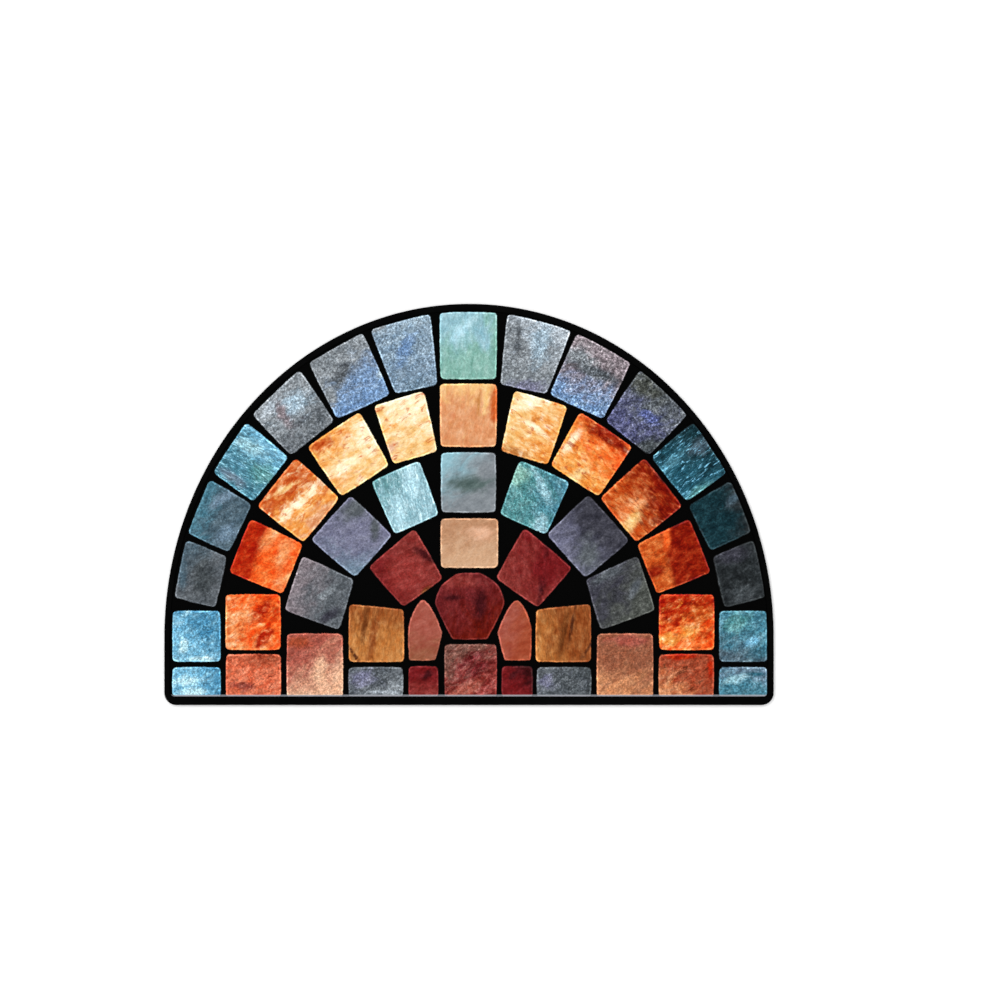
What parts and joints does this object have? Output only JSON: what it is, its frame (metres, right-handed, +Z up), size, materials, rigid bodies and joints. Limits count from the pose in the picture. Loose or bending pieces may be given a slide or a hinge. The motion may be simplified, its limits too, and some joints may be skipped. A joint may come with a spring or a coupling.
{
  "type": "doormat",
  "caption": "Flat half-round doormat: a rimmed black rubber base with a needled cloth face, pressed into raised cobbles in rings under the arch.",
  "frame": {"origin": "on the floor under the middle of the mat's box", "axes": "+X along the straight foot, +Y from the foot towards the crown of the arch, +Z up"},
  "size_m": [0.6, 0.395, 0.007],
  "materials": {
    "rubber": "fine moulded grain, matt",
    "needlefelt": "printed needled polyester: cobbles in blues, greys, ambers and reds on black joints"
  },
  "bodies": {
    "root": {"rubber_base": "rubber", "face_cloth": "needlefelt"}
  },
  "joints": []
}
